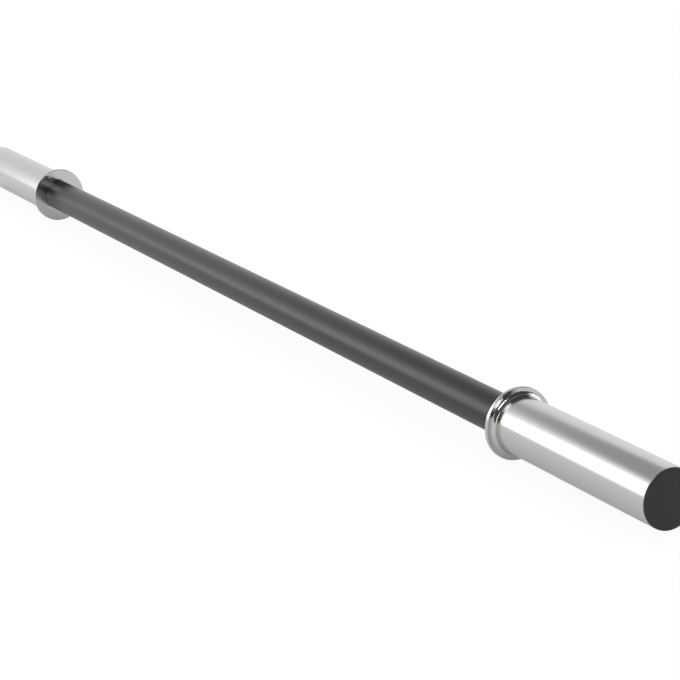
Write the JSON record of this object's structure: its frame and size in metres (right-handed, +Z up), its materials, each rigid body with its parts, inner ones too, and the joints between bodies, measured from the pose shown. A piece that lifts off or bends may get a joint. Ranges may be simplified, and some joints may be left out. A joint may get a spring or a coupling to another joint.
{
  "type": "aerobic barbell",
  "caption": "Light barbell with a rubber-covered grip and, at each end, a chromed sleeve that spins on plain bushes and takes weight plates.",
  "frame": {"origin": "the middle of the bar, on its axis", "axes": "+X along the bar towards the right-hand end, +Z up when the bar lies level, +Y away from a person who faces it"},
  "size_m": [1.397, 0.0624, 0.0624],
  "materials": {
    "grip_rubber": "smooth satin rubber",
    "bright_chrome": "polished chrome plate",
    "cap_plastic": "matt moulded plastic",
    "plated_steel": "zinc plated",
    "turned_steel": "turned, oiled",
    "bearing_bronze": "sintered bronze"
  },
  "bodies": {
    "shaft": {"shaft_tube": "plated_steel", "grip_cover": "grip_rubber", "thrust_ring_left": "plated_steel", "ring_pin_left": "turned_steel", "end_plug_left": "turned_steel", "retaining_washer_left": "plated_steel", "lock_washer_left": "turned_steel", "end_bolt_left": "plated_steel", "thrust_ring_right": "plated_steel", "ring_pin_right": "turned_steel", "end_plug_right": "turned_steel", "retaining_washer_right": "plated_steel", "lock_washer_right": "turned_steel", "end_bolt_right": "plated_steel"},
    "sleeve_left": {"sleeve_tube_left": "bright_chrome", "collar_left": "bright_chrome", "inner_bush_left": "bearing_bronze", "inner_carrier_left": "turned_steel", "outer_bush_left": "bearing_bronze", "outer_carrier_left": "turned_steel", "end_cap_left": "cap_plastic"},
    "sleeve_right": {"sleeve_tube_right": "bright_chrome", "collar_right": "bright_chrome", "inner_bush_right": "bearing_bronze", "inner_carrier_right": "turned_steel", "outer_bush_right": "bearing_bronze", "outer_carrier_right": "turned_steel", "end_cap_right": "cap_plastic"}
  },
  "joints": [
    {"name": "left_sleeve_spin", "type": "hinge", "parent": "shaft", "child": "sleeve_left", "pos_m": [-0.6, 0, 0], "axis": [1, 0, 0], "continuous": true},
    {"name": "right_sleeve_spin", "type": "hinge", "parent": "shaft", "child": "sleeve_right", "pos_m": [0.6, 0, 0], "axis": [1, 0, 0], "continuous": true}
  ]
}
